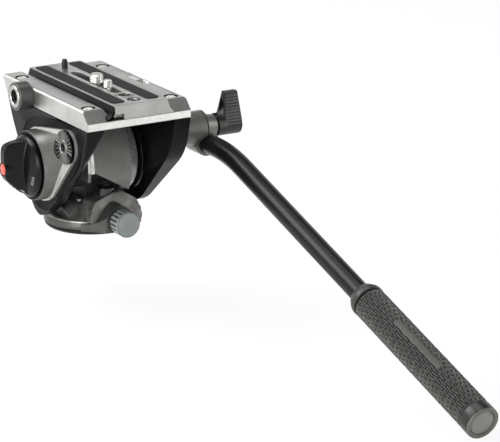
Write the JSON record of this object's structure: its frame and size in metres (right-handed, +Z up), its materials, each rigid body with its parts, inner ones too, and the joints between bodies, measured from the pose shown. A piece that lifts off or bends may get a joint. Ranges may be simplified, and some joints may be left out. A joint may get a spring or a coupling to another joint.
{
  "type": "fluid video head",
  "caption": "Fluid video head that pans and tilts, with a sliding camera plate between two rails, side lock knobs, a bubble level and a bent pan bar with a rubber grip.",
  "frame": {"origin": "mouth of the tripod thread, at the centre of the base's underside", "axes": "+Z up along the pan axis, +Y where the lens points, +X to the operator's right"},
  "size_m": [0.164, 0.4479, 0.1604],
  "materials": {
    "base_black": "fine satin paint",
    "ring_black": "fine satin paint",
    "shoulder_grey": "satin paint",
    "steel": "turned",
    "bronze": "sintered",
    "level_black": "gloss",
    "vial_glass": "clear, tinted fluid",
    "casting_dark": "cast, painted",
    "drum_grey": "matte paint",
    "machined_pale": "machined",
    "gloss_black": "gloss",
    "knob_slate": "matte",
    "brass": "turned",
    "cheek_black": "satin, moulded",
    "cover_grey": "satin paint",
    "rosette_dark": "satin",
    "hub_black": "satin",
    "disc_black": "semi gloss",
    "bridge_alu": "bead blasted, anodised",
    "boss_grey": "satin",
    "chrome": "plated",
    "strip_alu": "anodised",
    "jaw_alu": "anodised",
    "lever_black": "matte",
    "spring_steel": "drawn wire",
    "release_bright": "polished",
    "knob_black": "semi gloss",
    "red_insert": "gloss",
    "plate_alu": "bead blasted, anodised",
    "pad_rubber": "fine texture",
    "pin_black": "satin",
    "clamp_black": "satin",
    "tube_black": "satin black",
    "collar_black": "smooth",
    "grip_rubber": "wavy texture",
    "cap_grey": "matte",
    "disc_grey": "matte",
    "wing_grey": "matte"
  },
  "bodies": {
    "base": {"base_disc": "base_black", "pan_spindle": "steel", "tripod_thread_bush": "brass", "spindle_nut": "steel"},
    "turntable": {"base_housing": "ring_black", "pan_bearing": "bronze", "shoulder_cover": "shoulder_grey", "level_cup": "level_black", "level_vial": "vial_glass", "pedestal": "casting_dark", "pedestal_screws": "steel", "drum_cover": "drum_grey", "end_flange": "machined_pale", "counterbalance_drum": "gloss_black", "tilt_bearings": "steel", "drag_cup": "casting_dark"},
    "pan_lock": {"pan_lock_knob": "knob_slate", "pan_lock_stud": "brass"},
    "tilt_frame": {"tilt_axle": "steel", "drag_rotor": "strip_alu", "counterbalance_spring": "spring_steel", "left_cheek": "cheek_black", "right_cheek": "cheek_black", "left_cover": "cover_grey", "left_rosette": "rosette_dark", "left_rosette_bush": "hub_black", "right_rosette": "rosette_dark", "right_disc_cover": "disc_black", "bridge": "bridge_alu", "bridge_screws": "chrome", "accessory_boss": "boss_grey", "accessory_ring": "chrome", "guide_strip": "strip_alu", "release_spring": "spring_steel"},
    "jaw": {"clamp_jaw": "jaw_alu"},
    "plate_lever": {"plate_lock_lever": "lever_black", "plate_lock_stud": "steel"},
    "release": {"release_button": "release_bright"},
    "tilt_lock": {"tilt_lock_knob": "knob_black", "tilt_lock_insert": "red_insert", "tilt_lock_screw": "steel"},
    "plate": {"camera_plate": "plate_alu", "plate_pads": "pad_rubber", "plate_eyelet": "hub_black", "plate_end_screw": "chrome", "pin_spring": "spring_steel"},
    "screw_large": {"camera_screw_large": "chrome"},
    "screw_small": {"camera_screw_small": "chrome"},
    "pin": {"video_pin": "pin_black"},
    "pan_bar": {"clamp_body": "clamp_black", "clamp_cap": "clamp_black", "pan_tube": "tube_black", "grip_collar": "collar_black", "grip_sleeve": "grip_rubber", "grip_end_cap": "cap_grey", "grip_end_disc": "disc_grey"},
    "wing": {"wing_knob": "wing_grey", "clamp_stud": "steel"}
  },
  "joints": [
    {"name": "pan", "type": "hinge", "parent": "base", "child": "turntable", "pos_m": [0, 0, 0.01], "axis": [0, 0, 1], "continuous": true},
    {"name": "tilt", "type": "hinge", "parent": "turntable", "child": "tilt_frame", "pos_m": [0, 0, 0.0482], "axis": [1, 0, 0], "range_deg": [-75, 50]},
    {"name": "pan_lock_turn", "type": "hinge", "parent": "turntable", "child": "pan_lock", "pos_m": [0, -0.045, 0.011], "axis": [0, -1, 0], "range_deg": [0, 180]},
    {"name": "tilt_lock_turn", "type": "hinge", "parent": "tilt_frame", "child": "tilt_lock", "pos_m": [-0.055, 0, 0.0482], "axis": [-1, 0, 0], "range_deg": [0, 90]},
    {"name": "plate_slide", "type": "slide", "parent": "tilt_frame", "child": "plate", "axis": [0, 1, 0], "range_m": [-0.025, 0.025]},
    {"name": "jaw_slide", "type": "slide", "parent": "tilt_frame", "child": "jaw", "axis": [1, 0, 0], "range_m": [0, 0.0025]},
    {"name": "lever_turn", "type": "hinge", "parent": "jaw", "child": "plate_lever", "pos_m": [0.041, 0.022, 0.0957], "axis": [1, 0, 0], "range_deg": [0, 100]},
    {"name": "release_press", "type": "slide", "parent": "tilt_frame", "child": "release", "axis": [0, 0, -1], "range_m": [0, 0.002], "stiffness_N_per_m": 400, "deforming": ["release_spring"]},
    {"name": "bar_angle", "type": "hinge", "parent": "tilt_frame", "child": "pan_bar", "pos_m": [0.05, -0.042, 0.0702], "axis": [1, 0, 0], "range_deg": [-70, 60]},
    {"name": "wing_turn", "type": "hinge", "parent": "pan_bar", "child": "wing", "pos_m": [0.09, -0.042, 0.0702], "axis": [1, 0, 0], "range_deg": [-180, 180]},
    {"name": "screw_large_slide", "type": "slide", "parent": "plate", "child": "screw_large", "axis": [0, 1, 0], "range_m": [-0.0015, 0.031]},
    {"name": "screw_small_slide", "type": "slide", "parent": "plate", "child": "screw_small", "axis": [0, 1, 0], "range_m": [-0.0115, 0.0015]},
    {"name": "pin_press", "type": "slide", "parent": "plate", "child": "pin", "axis": [0, 0, -1], "range_m": [0, 0.004], "stiffness_N_per_m": 300, "deforming": ["pin_spring"]}
  ],
  "couplings": [
    {"joint": "lever_turn", "follows": "jaw_slide", "rad_per_m": 698.13}
  ]
}
